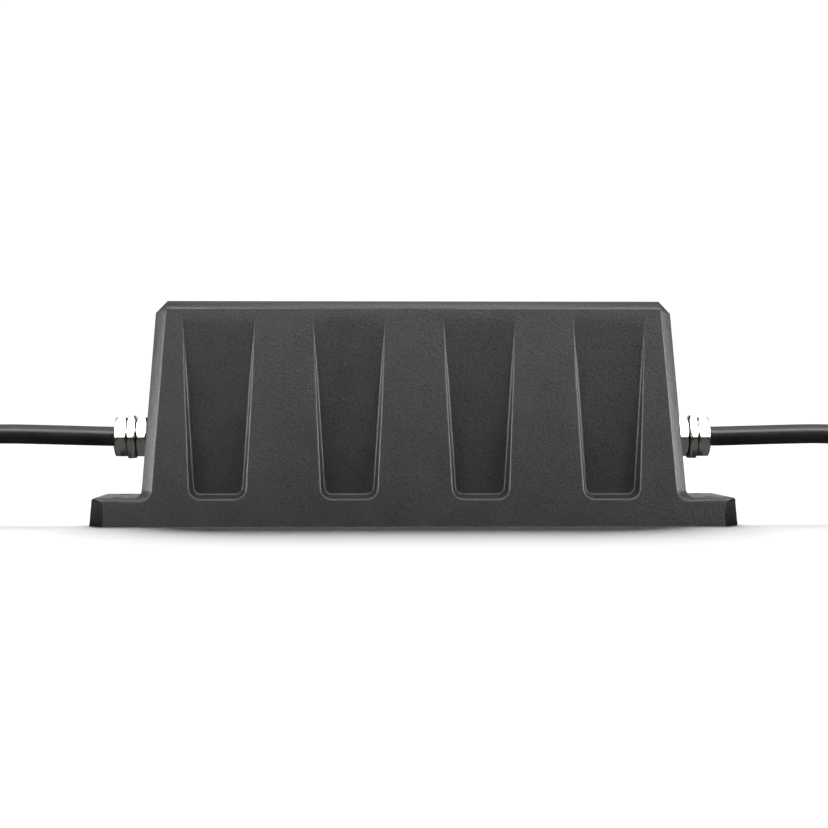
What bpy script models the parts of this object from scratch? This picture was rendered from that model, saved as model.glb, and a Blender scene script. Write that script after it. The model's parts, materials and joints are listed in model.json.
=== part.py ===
"""Sealed in-line coax enclosure: a moulded housing with a cable gland and a coax cable at each end.

Metres, +Z up. The origin is the middle of the housing's base, +X runs along the housing and -Y is its front.
Each gland piece is modelled along its own +X, which points out of the housing along the cable.
"""

import math

import bmesh
import bpy
from mathutils import Vector

GAP = 0.0003  # left between pieces that touch

# Housing
HEIGHT = 0.114
BASE_HALF_X = 0.1635  # flange end at the base
BASE_HALF_Y = 0.034
BODY_HALF_X = 0.1386  # body end, carried down to the base
END_SLOPE = 0.065  # the ends lean in by this much for each unit of height
FACE_SLOPE = 0.15  # and the front and back by this much
FLANGE_TOP = 0.0142
FLANGE_ROUND = 0.0022
FLANGE_CHAMFER = 0.0067
BODY_CHAMFER = 0.0055
FILLET = 0.004
TOP_END_CHAMFER = 0.0062
TOP_ROUND = 0.0042
CORNER_STEPS = 3
FILLET_STEPS = 4

# Tapered recesses in the front and back
RECESS_X = (-0.0992, -0.0331, 0.0331, 0.0992)
RECESS_TOP = 0.1045  # where its floor runs out into the face
RECESS_BOTTOM = 0.0154
RECESS_FLOOR_SLOPE = 0.05
RECESS_HALF_AT_BASE = 0.01163  # half width of the floor, carried down to the base
RECESS_WIDENING = 0.0634
RECESS_CORNER = 0.0043
RECESS_FLARE = 0.15
RECESS_CUT_DEPTH = 0.014
RECESS_CUT_TOP = 0.111

# Inside of the housing
WALL = 0.003
CAVITY_TOP = 0.107
CAVITY_HALF_X = 0.1305  # carried down to the base
REBATE_TOP = 0.0055
REBATE_HALF_X = 0.1325
REBATE_HALF_Y = 0.0226
SEAT_Z = 0.0036  # the base plate's pocket ends here
SEAT_HALF_X = 0.1362
SEAT_HALF_Y = 0.0298
GASKET_BORE_HALF_X = 0.1304
GASKET_BORE_HALF_Y = 0.0206
PAST = 0.005  # how far a cutter runs past the surface it breaks through

# Base plate and its fasteners
PLATE_BOTTOM = 0.0003
PLATE_THICK = 0.003
BASE_SCREW_X = (-0.108, 0.0, 0.108)
BASE_SCREW_Y = 0.0258
BASE_SCREW_TIP = 0.0125
BASE_HOLE_TOP = 0.0138
SCREW_R = 0.0017
SCREW_HEAD_R = 0.0034

# Mounting holes in the flanges
MOUNT_X = 0.150
MOUNT_Y = 0.018
MOUNT_R = 0.0033

# Circuit board
BOARD_HALF_X = 0.117
BOARD_HALF_Y = 0.017
BOARD_THICK = 0.0016
STANDOFF_TOP = 0.0136
STANDOFF_R = 0.00275
BOARD_SCREW_X = 0.112
BOARD_SCREW_Y = 0.0125
BOARD_SCREW_R = 0.0015
BOARD_HOLE_R = 0.0018
BOARD_SCREW_TIP = 0.006
BOARD_SCREW_HEAD_R = 0.0028
BOARD_SCREW_HEAD_TALL = 0.0018

# Components, standing on the board
CAN_X = -0.028
CAN_HALF_X = 0.038
CAN_HALF_Y = 0.0135
CAN_TALL = 0.016
CAN_WALL = 0.0006
CHOKE_X = 0.032
CHOKE_BORE_R = 0.006
CHOKE_R = 0.0115
CHOKE_TALL = 0.009
CAPACITOR_X = (0.056, 0.072)
CAPACITOR_Y = 0.006
CAPACITOR_R = 0.005
CAPACITOR_TALL = 0.016
CAPACITOR_CHAMFER = 0.0006
TERMINAL_X = 0.104
TERMINAL_HALF = 0.006
TERMINAL_TALL = 0.010
LEAD_R = 0.0018

# Glands: distances along X from the middle of the housing
GLAND_Z = 0.0447
ENTRY_END = 0.1235
SPOT_FACE_X = 0.1348
SPOT_FACE_R = 0.0136
WASHER_THICK = 0.0012
WASHER_R = 0.0115
ENTRY_CUT_START = 0.115
JAM_NUT_START = SPOT_FACE_X + WASHER_THICK + 2 * GAP
JAM_NUT_END = 0.1420
BODY_HEX_END = 0.1467
NECK_END = 0.1500
NUT_END = 0.1536
SEAL_START = 0.1438
SEAL_END = 0.1482
CAGE_BEND = 0.1500
CAGE_END = 0.1506
SLIP_START = CAGE_END + GAP
SLIP_END = 0.1517
CROWN_INSIDE = SLIP_END + GAP
DOME_START = 0.1506
SMALL_FLATS = 0.020
LARGE_FLATS = 0.022
ENTRY_R = 0.008
NECK_R = 0.0083
CROWN_BORE_R = 0.0059
SEAL_SEAT_R = 0.007
CABLE_BORE_R = 0.0056
SLIP_BORE_R = 0.0055
SLIP_R = 0.0078
CAGE_TIP_R = 0.0062
CROWN_R = 0.0072  # where the dome ends in the flat round its bore

# Cables: the route of the right one, and its coil
CABLE_R = 0.005
CABLE_STEP = 0.009
CABLE_START_X = 0.127
RUN_BEND_X = 0.213  # where it starts down and to the front
RUN_END_X = 0.2955  # where it lies straight on the surface
ARC_STEPS = 8
CABLE_RISE = 0.0014
CABLE_Z = GLAND_Z + CABLE_RISE
COIL_X = 0.330
COIL_Y = 0.0213
COIL_R = 0.050
COIL_LOW = 0.0068  # middle of the lowest turn
COIL_PITCH = 0.0103
COIL_TURNS = 3
COIL_HIGH = COIL_LOW + COIL_PITCH * (COIL_TURNS - 1)
TAIL_START = math.radians(235)  # where the cable lies on top of its coil
TAIL_R = 0.042
TAIL_Z = COIL_HIGH + COIL_PITCH
PLUG_X = COIL_X + TAIL_R
PLUG_Y = COIL_Y - 0.006  # back end of the boot, from which the plug points at +Y
PLUG_Z = 0.0431
TIE_ANGLE = math.radians(135)
TIE_THICK = 0.0012
TIE_HALF_WIDTH = 0.0025
COIL_ROUND = 0.003

# Plug: distances along it from the back of its boot
BARREL_START = 0.012
BOOT_BEND = 0.004
BOOT_END = 0.020
COLLAR_START = 0.024
COLLAR_END = 0.0335
NUT_START = 0.0345
NUT_CHAMFER_END = 0.0360
NUT_INSIDE = 0.0375
PIN_START = 0.0423
SOCKET_BOTTOM = 0.0420
NUT_KNURL_END = 0.0520
NUT_FRONT = 0.0530
PIN_SHOULDER = 0.0500
PIN_TIP = 0.0510
BARREL_R = 0.0060
BOOT_BORE_R = BARREL_R + GAP
BOOT_BACK_R = 0.0060
BOOT_BEND_R = 0.0066
BOOT_FRONT_R = 0.0074
COLLAR_R = 0.0080
SPIGOT_R = 0.0042
SOCKET_R = 0.0035
NUT_R = 0.0104
NUT_EDGE_R = 0.0098
NUT_BACK_R = 0.0095
NUT_THREAD_R = 0.0080
NUT_HOLE_R = SPIGOT_R + 0.0004
PIN_R = 0.0008
PIN_TIP_R = 0.0004

SIDES = 24


def clear_scene():
    for obj in list(bpy.data.objects):
        bpy.data.objects.remove(obj, do_unlink=True)


def material(name, color, roughness, metallic=0.0):
    made = bpy.data.materials.new(name)
    made.use_nodes = True
    shader = made.node_tree.nodes["Principled BSDF"]
    shader.inputs["Base Color"].default_value = (*color, 1.0)
    shader.inputs["Roughness"].default_value = roughness
    shader.inputs["Metallic"].default_value = metallic
    return made


def make_materials():
    return {
        "housing": material("housing", (0.055, 0.055, 0.056), 0.55),
        "plate": material("plate", (0.62, 0.63, 0.64), 0.4, 1.0),
        "nickel": material("nickel", (0.72, 0.70, 0.66), 0.22, 1.0),
        "steel": material("steel", (0.56, 0.57, 0.58), 0.3, 1.0),
        "brass": material("brass", (0.78, 0.60, 0.30), 0.25, 1.0),
        "rubber": material("rubber", (0.02, 0.02, 0.02), 0.8),
        "jacket": material("jacket", (0.012, 0.012, 0.012), 0.4),
        "nylon": material("nylon", (0.60, 0.60, 0.56), 0.5),
        "tie": material("tie", (0.02, 0.02, 0.02), 0.6),
        "board": material("board", (0.02, 0.14, 0.06), 0.45),
        "can": material("can", (0.68, 0.68, 0.67), 0.3, 1.0),
        "ferrite": material("ferrite", (0.08, 0.08, 0.08), 0.7),
        "copper": material("copper", (0.80, 0.42, 0.24), 0.3, 1.0),
    }


def add_object(name, bm, mat, sharp_above=30):
    """Makes the object of a closed mesh, with its faces turned outwards."""
    bmesh.ops.recalc_face_normals(bm, faces=bm.faces)
    mesh = bpy.data.meshes.new(name)
    bm.to_mesh(mesh)
    bm.free()
    mesh.materials.append(mat)
    mesh.shade_smooth()
    mesh.set_sharp_from_angle(angle=math.radians(sharp_above))
    obj = bpy.data.objects.new(name, mesh)
    bpy.context.scene.collection.objects.link(obj)
    return obj


def add_cutter(name, bm):
    cutter = add_object(name, bm, bpy.data.materials["steel"])
    cutter.hide_render = True
    cutter.display_type = "WIRE"
    return cutter


def cut(target, cutter):
    modifier = target.modifiers.new("cut " + cutter.name, "BOOLEAN")
    modifier.operation = "DIFFERENCE"
    modifier.object = cutter


def loft(loops):
    """Closes a stack of loops with equal numbers of points, capped at both ends."""
    bm = bmesh.new()
    rings = [[bm.verts.new(point) for point in loop] for loop in loops]
    for low, high in zip(rings, rings[1:]):
        for i in range(len(low)):
            j = (i + 1) % len(low)
            bm.faces.new((low[i], low[j], high[j], high[i]))
    bm.faces.new(rings[0])
    bm.faces.new(rings[-1])
    return bm


def rectangle(half_x, half_y, z, x=0.0, y=0.0):
    return [
        (x - half_x, y - half_y, z),
        (x + half_x, y - half_y, z),
        (x + half_x, y + half_y, z),
        (x - half_x, y + half_y, z),
    ]


def box(half_x, half_y, low, high, x=0.0, y=0.0):
    return loft([rectangle(half_x, half_y, low, x, y), rectangle(half_x, half_y, high, x, y)])


def radius_at(angle, radius, flats):
    """Distance from the axis of a turned point, kept inside a hexagon that has a corner at angle 0."""
    if not flats:
        return radius
    from_middle = (angle % math.radians(60)) - math.radians(30)
    return min(radius, flats / 2 / math.cos(from_middle))


def turned_loop(along, radius, flats=0.0, sides=SIDES):
    """Points round the X axis. The first one is at -Y."""
    loop = []
    for k in range(sides):
        angle = math.tau * k / sides
        r = radius_at(angle, radius, flats)
        loop.append((along, -r * math.cos(angle), r * math.sin(angle)))
    return loop


def turned_ring(profile, sides=SIDES):
    """A bored piece: the closed profile of (along, radius[, flats]) turned about the X axis."""
    bm = bmesh.new()
    rings = [[bm.verts.new(p) for p in turned_loop(*point, sides=sides)] for point in profile]
    for a, b in zip(rings, rings[1:] + rings[:1]):
        for i in range(sides):
            j = (i + 1) % sides
            bm.faces.new((a[i], a[j], b[j], b[i]))
    return bm


def turned_solid(profile, sides=SIDES):
    """A piece without a bore: the open profile turned about the X axis, with flat ends."""
    return loft([turned_loop(*point, sides=sides) for point in profile])


def stand_up(obj, x, y, z=0.0):
    """Turns a piece modelled along +X so that it points up from (x, y, z)."""
    obj.rotation_euler = (0, -math.pi / 2, 0)
    obj.location = (x, y, z)


def end_x(z):
    return BODY_HALF_X - END_SLOPE * z


def face_y(z):
    return BASE_HALF_Y - FACE_SLOPE * z


def floor_y(z):
    """Half depth of the housing between a recess's floor and the one behind it."""
    return face_y(RECESS_TOP) + RECESS_FLOOR_SLOPE * (RECESS_TOP - z)


def outline_half():
    """Right half of the housing's outline, from the base to the top.

    Each entry is (x, z) on the outer edge, (x, z) on the edge of the flat face, how far the outer edge
    stands behind the face, and how round the strip between them is.
    """
    flange_x = BASE_HALF_X - END_SLOPE * (FLANGE_TOP - FLANGE_ROUND)
    shoulder = FLANGE_TOP - FLANGE_ROUND
    turn = FLANGE_ROUND * math.sqrt(0.5)
    face_x = flange_x - FLANGE_CHAMFER
    points = [
        ((BASE_HALF_X, 0.0), (BASE_HALF_X - FLANGE_CHAMFER, 0.0), FLANGE_CHAMFER, 0.0),
        ((flange_x, shoulder), (face_x, shoulder - 0.0006), FLANGE_CHAMFER, 0.0),
        (
            (flange_x - FLANGE_ROUND + turn, shoulder + turn),
            (face_x - 0.0002, shoulder - 0.0002),
            (FLANGE_CHAMFER + FLANGE_ROUND) / 2,
            0.5,
        ),
        ((flange_x - FLANGE_ROUND, FLANGE_TOP), (face_x - 0.0006, shoulder), FLANGE_ROUND, 1.0),
    ]
    rise = FLANGE_TOP + FILLET
    side_x = end_x(rise)
    strip = BODY_CHAMFER - FLANGE_ROUND
    face_centre_x = side_x - BODY_CHAMFER + 0.0051
    for step in range(FILLET_STEPS + 1):
        angle = math.radians(90) * step / FILLET_STEPS
        outer = (side_x + FILLET * (1 - math.sin(angle)), rise - FILLET * math.cos(angle))
        inner = (face_centre_x - 0.0051 * math.sin(angle), rise - (rise - shoulder) * math.cos(angle))
        share = step / FILLET_STEPS
        points.append((outer, inner, FLANGE_ROUND + strip * share, 1.0 - share))
    bend = HEIGHT - TOP_END_CHAMFER
    face_top = HEIGHT - TOP_ROUND
    points.append(((end_x(bend), bend), (end_x(bend) - BODY_CHAMFER, bend + 0.0002), BODY_CHAMFER, 0.0))
    points.append(
        (
            (end_x(bend) - TOP_END_CHAMFER, HEIGHT),
            (end_x(bend) - BODY_CHAMFER - 0.0003, face_top),
            TOP_ROUND,
            1.0,
        )
    )
    return points


def outline_loop(step, side):
    """One loop round the housing, from the flat face at step 0 to the outer edge. side is -1 in front."""
    t = step / CORNER_STEPS
    bend = t * math.pi / 2
    half = []
    for outer, inner, depth, roundness in outline_half():
        across = (1 - roundness) * t + roundness * math.sin(bend)
        back = depth * ((1 - roundness) * t + roundness * (1 - math.cos(bend)))
        x = inner[0] + (outer[0] - inner[0]) * across
        z = inner[1] + (outer[1] - inner[1]) * across
        half.append((x, side * (face_y(z) - back), z))
    return half + [(-x, y, z) for x, y, z in reversed(half)]


def recess_loop(x_middle, offset, side, stand_off):
    """Outline of a recess, offset outwards from its floor's outline, at stand_off outside the floor."""
    low = RECESS_BOTTOM - offset
    corner = RECESS_CORNER + offset

    def half_width(z):
        return RECESS_HALF_AT_BASE + RECESS_WIDENING * z + offset

    half = [(half_width(RECESS_CUT_TOP), RECESS_CUT_TOP)]
    for k in range(5):
        angle = math.radians(90) * k / 4
        middle_x = half_width(low + corner) - corner
        half.append((middle_x + corner * math.cos(angle), low + corner - corner * math.sin(angle)))
    outline = half + [(-x, z) for x, z in reversed(half)]
    return [(x_middle + x, side * (floor_y(z) + stand_off), z) for x, z in outline]


def cut_recesses(housing):
    for side in (-1, 1):
        for number, x in enumerate(RECESS_X, 1):
            floor = recess_loop(x, 0.0, side, 0.0)
            outside = recess_loop(x, RECESS_FLARE * RECESS_CUT_DEPTH, side, RECESS_CUT_DEPTH)
            cut(housing, add_cutter(f"recess {side} {number}", loft([floor, outside])))


def cut_inside(housing):
    below = -PAST
    low = rectangle(CAVITY_HALF_X - END_SLOPE * below, floor_y(below) - WALL, below)
    high = rectangle(CAVITY_HALF_X - END_SLOPE * CAVITY_TOP, floor_y(CAVITY_TOP) - WALL, CAVITY_TOP)
    cut(housing, add_cutter("cavity", loft([low, high])))
    cut(housing, add_cutter("rebate", box(REBATE_HALF_X, REBATE_HALF_Y, below, REBATE_TOP)))
    cut(housing, add_cutter("seat", box(SEAT_HALF_X, SEAT_HALF_Y, below, SEAT_Z)))


def cut_holes(housing):
    hole_r = SCREW_R + GAP
    for x in BASE_SCREW_X:
        for y in (-BASE_SCREW_Y, BASE_SCREW_Y):
            hole = add_cutter("screw hole", turned_solid([(-PAST, hole_r), (BASE_HOLE_TOP, hole_r)], 16))
            stand_up(hole, x, y)
            cut(housing, hole)
    for x in (-MOUNT_X, MOUNT_X):
        for y in (-MOUNT_Y, MOUNT_Y):
            profile = [(-PAST, MOUNT_R), (FLANGE_TOP + PAST, MOUNT_R)]
            hole = add_cutter("mounting hole", turned_solid(profile, 24))
            stand_up(hole, x, y)
            cut(housing, hole)
    for turn in (0.0, math.pi):
        entry_r = ENTRY_R + GAP
        profile = [(ENTRY_CUT_START, entry_r), (SPOT_FACE_X, entry_r)]
        profile += [(SPOT_FACE_X, SPOT_FACE_R), (BODY_HALF_X + PAST, SPOT_FACE_R)]
        entry = add_cutter("gland entry", turned_solid(profile))
        place_gland_piece(entry, turn)
        cut(housing, entry)


def make_housing(mats):
    loops = [outline_loop(step, -1) for step in range(CORNER_STEPS + 1)]
    loops += [outline_loop(step, 1) for step in range(CORNER_STEPS, -1, -1)]
    housing = add_object("housing", loft(loops), mats["housing"])
    cut_recesses(housing)
    cut_inside(housing)
    cut_holes(housing)


def make_base(mats):
    top = PLATE_BOTTOM + PLATE_THICK
    half_x = SEAT_HALF_X - GAP
    half_y = SEAT_HALF_Y - GAP
    plate = add_object("base_plate", box(half_x, half_y, PLATE_BOTTOM, top), mats["plate"])
    cone = (SCREW_HEAD_R - SCREW_R) + GAP
    number = 0
    for x in BASE_SCREW_X:
        for y in (-BASE_SCREW_Y, BASE_SCREW_Y):
            number += 1
            wide, narrow = SCREW_HEAD_R + GAP, SCREW_R + GAP
            sink = PLATE_BOTTOM + cone
            profile = [(-PAST, wide), (PLATE_BOTTOM + GAP, wide), (sink + GAP, narrow), (top + PAST, narrow)]
            hole = add_cutter("countersink", turned_solid(profile, 16))
            stand_up(hole, x, y)
            cut(plate, hole)
            head = [(PLATE_BOTTOM, SCREW_HEAD_R), (sink - GAP, SCREW_R), (BASE_SCREW_TIP, SCREW_R)]
            screw = add_object(f"base_screw_{number}", turned_solid(head, 16), mats["steel"])
            stand_up(screw, x, y)
    ring = add_object(
        "base_gasket",
        box(REBATE_HALF_X - GAP, REBATE_HALF_Y - GAP, SEAT_Z, REBATE_TOP - GAP),
        mats["rubber"],
    )
    bore = box(GASKET_BORE_HALF_X, GASKET_BORE_HALF_Y, -PAST, REBATE_TOP + PAST)
    cut(ring, add_cutter("gasket bore", bore))


def make_board(mats):
    low = STANDOFF_TOP + GAP
    high = low + BOARD_THICK
    board = add_object("circuit_board", box(BOARD_HALF_X, BOARD_HALF_Y, low, high), mats["board"])
    standoff_low = PLATE_BOTTOM + PLATE_THICK + GAP
    number = 0
    for x in (-BOARD_SCREW_X, BOARD_SCREW_X):
        for y in (-BOARD_SCREW_Y, BOARD_SCREW_Y):
            number += 1
            profile = [(low - PAST, BOARD_HOLE_R), (high + PAST, BOARD_HOLE_R)]
            hole = add_cutter("board hole", turned_solid(profile, 16))
            stand_up(hole, x, y)
            cut(board, hole)
            profile = [
                (standoff_low, BOARD_HOLE_R),
                (standoff_low, STANDOFF_R),
                (STANDOFF_TOP, STANDOFF_R),
                (STANDOFF_TOP, BOARD_HOLE_R),
            ]
            standoff = add_object(f"board_standoff_{number}", turned_ring(profile, 12), mats["brass"])
            stand_up(standoff, x, y)
            shank = [(BOARD_SCREW_TIP, BOARD_SCREW_R), (high + GAP, BOARD_SCREW_R)]
            head = [(high + GAP, BOARD_SCREW_HEAD_R), (high + BOARD_SCREW_HEAD_TALL, BOARD_SCREW_HEAD_R)]
            screw = add_object(f"board_screw_{number}", turned_solid(shank + head, 12), mats["steel"])
            stand_up(screw, x, y)
    return high + GAP


def make_components(mats, floor):
    outside = box(CAN_HALF_X, CAN_HALF_Y, floor, floor + CAN_TALL, x=CAN_X)
    can = add_object("shield_can", outside, mats["can"])
    half_x = CAN_HALF_X - CAN_WALL
    half_y = CAN_HALF_Y - CAN_WALL
    inside = box(half_x, half_y, floor - PAST, floor + CAN_TALL - CAN_WALL, x=CAN_X)
    cut(can, add_cutter("can inside", inside))
    top = floor + CHOKE_TALL
    choke = [(floor, CHOKE_BORE_R), (floor, CHOKE_R), (top, CHOKE_R), (top, CHOKE_BORE_R)]
    stand_up(add_object("choke", turned_ring(choke, 24), mats["ferrite"]), CHOKE_X, 0.0)
    top = floor + CAPACITOR_TALL
    for number, x in enumerate(CAPACITOR_X, 1):
        profile = [(floor, CAPACITOR_R), (top - CAPACITOR_CHAMFER / 2, CAPACITOR_R)]
        profile.append((top, CAPACITOR_R - CAPACITOR_CHAMFER))
        capacitor = add_object(f"capacitor_{number}", turned_solid(profile, 20), mats["can"])
        stand_up(capacitor, x, CAPACITOR_Y)


def side_names(turn):
    return "left" if turn else "right"


def place_gland_piece(obj, turn):
    obj.location = (0.0, 0.0, GLAND_Z)
    obj.rotation_euler = (0.0, 0.0, turn)


def hexagon_profile(start, end, flats, bore, chamfer_end=True):
    """Closed profile of a bored hexagon, with its corners chamfered at its outer end or at both."""
    corner = flats / math.sqrt(3)
    low = flats / 2 * 0.99
    drop = (corner - low) * math.tan(math.radians(30))
    profile = [(start, bore), (start, low if chamfer_end else corner, flats)]
    if chamfer_end:
        profile.append((start + drop, corner, flats))
    profile += [(end - drop, corner, flats), (end, low, flats), (end, bore)]
    return profile


def make_gland(mats, turn):
    side = side_names(turn)
    pieces = {}
    start = SPOT_FACE_X + GAP
    end = start + WASHER_THICK
    hole_r = ENTRY_R + GAP
    washer = [(start, hole_r), (start, WASHER_R), (end, WASHER_R), (end, hole_r)]
    pieces["entry_washer"] = (turned_ring(washer), "rubber")
    jam = hexagon_profile(JAM_NUT_START, JAM_NUT_END, SMALL_FLATS, ENTRY_R + GAP)
    pieces["jam_nut"] = (turned_ring(jam), "nickel")
    hexagon = hexagon_profile(JAM_NUT_END + GAP, BODY_HEX_END, LARGE_FLATS, 0.0)[1:-1]
    body = [(ENTRY_END, CABLE_BORE_R), (ENTRY_END, ENTRY_R), (JAM_NUT_END + GAP, ENTRY_R)]
    body += hexagon
    body += [(BODY_HEX_END, NECK_R), (NECK_END, NECK_R), (NECK_END, SEAL_SEAT_R)]
    body += [(SEAL_START - GAP, SEAL_SEAT_R), (SEAL_START - GAP, CABLE_BORE_R)]
    pieces["gland_body"] = (turned_ring(body), "nickel")
    seal_r, hug_r = SEAL_SEAT_R - GAP, CABLE_R + GAP
    seal = [(SEAL_START, hug_r), (SEAL_START, seal_r), (SEAL_END, seal_r), (SEAL_END, hug_r)]
    pieces["gland_seal"] = (turned_ring(seal), "rubber")
    cage = [(SEAL_END + GAP, hug_r), (SEAL_END + GAP, seal_r), (CAGE_BEND, seal_r)]
    cage += [(CAGE_END, CAGE_TIP_R), (CAGE_END, hug_r)]
    pieces["clamp_cage"] = (turned_ring(cage), "nylon")
    slip = [(SLIP_START, SLIP_BORE_R), (SLIP_START, SLIP_R), (SLIP_END, SLIP_R), (SLIP_END, SLIP_BORE_R)]
    pieces["slip_ring"] = (turned_ring(slip), "nylon")
    pieces["dome_nut"] = (turned_ring(dome_nut_profile()), "nickel")
    for name, (bm, mat) in pieces.items():
        place_gland_piece(add_object(f"{side}_{name}", bm, mats[mat]), turn)


def dome_nut_profile():
    start = BODY_HEX_END + GAP
    corner = SMALL_FLATS / math.sqrt(3)
    profile = [(start, NECK_R + GAP), (start, SMALL_FLATS / 2, SMALL_FLATS)]
    profile.append((start + 0.0008, corner, SMALL_FLATS))
    for k in range(5):
        angle = math.radians(90) * k / 4
        r = CROWN_R + (corner - CROWN_R) * math.cos(angle)
        profile.append((DOME_START + (NUT_END - DOME_START) * math.sin(angle), r, SMALL_FLATS))
    profile += [(NUT_END, CROWN_BORE_R), (CROWN_INSIDE, CROWN_BORE_R), (CROWN_INSIDE, NECK_R + GAP)]
    return profile


def smooth_route(points, step):
    """Points every step or so along a smooth curve through the given ones."""
    points = [Vector(p) for p in points]
    padded = [2 * points[0] - points[1], *points, 2 * points[-1] - points[-2]]
    fine = []
    for p0, p1, p2, p3 in zip(padded, padded[1:], padded[2:], padded[3:]):
        for k in range(20):
            t = k / 20
            bend = (2 * p0 - 5 * p1 + 4 * p2 - p3) * t * t + (3 * p1 - p0 - 3 * p2 + p3) * t * t * t
            fine.append(p1 + 0.5 * ((p2 - p0) * t + bend))
    fine.append(points[-1])
    total = sum((b - a).length for a, b in zip(fine, fine[1:]))
    spacing = total / max(1, round(total / step))
    route, walked = [fine[0]], 0.0
    for a, b in zip(fine, fine[1:]):
        walked += (b - a).length
        if walked >= spacing * 0.999:
            route.append(b)
            walked = 0.0
    route[-1] = fine[-1]
    return route


def add_tube(name, route, radius, mat, roundness=2):
    curve = bpy.data.curves.new(name, "CURVE")
    curve.dimensions = "3D"
    curve.bevel_depth = radius
    curve.bevel_resolution = roundness
    curve.use_fill_caps = True
    spline = curve.splines.new("POLY")
    spline.points.add(len(route) - 1)
    for point, place in zip(spline.points, route):
        point.co = (*place, 1.0)
    curve.materials.append(mat)
    obj = bpy.data.objects.new(name, curve)
    bpy.context.scene.collection.objects.link(obj)
    return obj


def mirrored(points, turn):
    sign = -1 if turn else 1
    return [(sign * x, y, z) for x, y, z in points]


def eased(share):
    """From 0 to 1 with no sudden change of slope."""
    return (1 - math.cos(math.pi * share)) / 2


def two_arcs(length, offset):
    """Points (along, aside) of an S made of two equal arcs, the gentlest way over to the side."""
    radius = (length**2 + offset**2) / (4 * offset)
    sweep = 2 * math.atan2(offset, length)
    angles = [sweep * k / ARC_STEPS for k in range(ARC_STEPS + 1)]
    first = [(radius * math.sin(a), radius * (1 - math.cos(a))) for a in angles]
    second = [(length - along, offset - aside) for along, aside in reversed(first)]
    return first + second[1:]


def run_points():
    """The right cable from inside its gland, down to the surface and up to its coil."""
    points = [
        (CABLE_START_X, 0.0, GLAND_Z),
        (0.140, 0.0, GLAND_Z),
        (0.150, 0.0, GLAND_Z + 0.0001),
        (0.160, 0.0, GLAND_Z + 0.0003),
        (0.175, 0.0, GLAND_Z + 0.0007),
        (0.190, 0.0, GLAND_Z + 0.0011),
        (0.204, 0.0, CABLE_Z),
    ]
    down = COIL_LOW - CABLE_Z
    across = COIL_Y - COIL_R
    offset = math.hypot(down, across)
    for along, aside in two_arcs(RUN_END_X - RUN_BEND_X, offset):
        share = aside / offset
        points.append((RUN_BEND_X + along, across * share, CABLE_Z + down * share))
    return points


def tail_points():
    """The right cable from the top of its coil into its plug."""
    points = []
    for k in range(4):
        angle = TAIL_START + (math.radians(270) - TAIL_START) * k / 4
        points.append((COIL_X + COIL_R * math.cos(angle), COIL_Y + COIL_R * math.sin(angle), TAIL_Z))
    for k in range(9):
        angle = math.radians(-90) + math.radians(90) * k / 8
        x = COIL_X + TAIL_R * math.cos(angle)
        y = COIL_Y - COIL_R + TAIL_R + TAIL_R * math.sin(angle)
        points.append((x, y, TAIL_Z + (PLUG_Z - TAIL_Z) * eased(k / 8)))
    points.append((PLUG_X, PLUG_Y + 0.0100, PLUG_Z))
    points.append((PLUG_X, PLUG_Y + 0.0190, PLUG_Z))
    return points


def make_cable(mats, turn):
    side = side_names(turn)
    for name, points in (("run", run_points()), ("tail", tail_points())):
        route = smooth_route(mirrored(points, turn), CABLE_STEP)
        add_tube(f"{side}_cable_{name}", route, CABLE_R, mats["jacket"])
    low, high = COIL_LOW - CABLE_R, COIL_HIGH + CABLE_R
    inner, outer = COIL_R - CABLE_R - GAP, COIL_R + CABLE_R + GAP
    profile = [
        (low, inner + COIL_ROUND),
        (low, outer - COIL_ROUND),
        (low + COIL_ROUND, outer),
        (high - COIL_ROUND, outer),
        (high, outer - COIL_ROUND),
        (high, inner + COIL_ROUND),
        (high - COIL_ROUND, inner),
        (low + COIL_ROUND, inner),
    ]
    coil = add_object(f"{side}_cable_coil", turned_ring(profile), mats["jacket"])
    sign = -1 if turn else 1
    stand_up(coil, sign * COIL_X, COIL_Y)
    make_tie(mats, side, sign, high - low, outer - inner)


def make_tie(mats, side, sign, coil_tall, coil_thick):
    """A flat band round one side of the coil."""
    half_z = coil_tall / 2 + GAP
    half_r = coil_thick / 2 + 2 * GAP
    band = box(half_r + TIE_THICK, TIE_HALF_WIDTH, -half_z - TIE_THICK, half_z + TIE_THICK)
    tie = add_object(f"{side}_coil_tie", band, mats["tie"])
    window = add_cutter("tie window", box(half_r, 2 * TIE_HALF_WIDTH, -half_z, half_z))
    angle = TIE_ANGLE if sign > 0 else math.pi - TIE_ANGLE
    x = sign * COIL_X + COIL_R * math.cos(angle)
    y = COIL_Y + COIL_R * math.sin(angle)
    for obj in (tie, window):
        obj.location = (x, y, (COIL_HIGH + COIL_LOW) / 2)
        obj.rotation_euler = (0.0, 0.0, angle)
    cut(tie, window)


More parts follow.
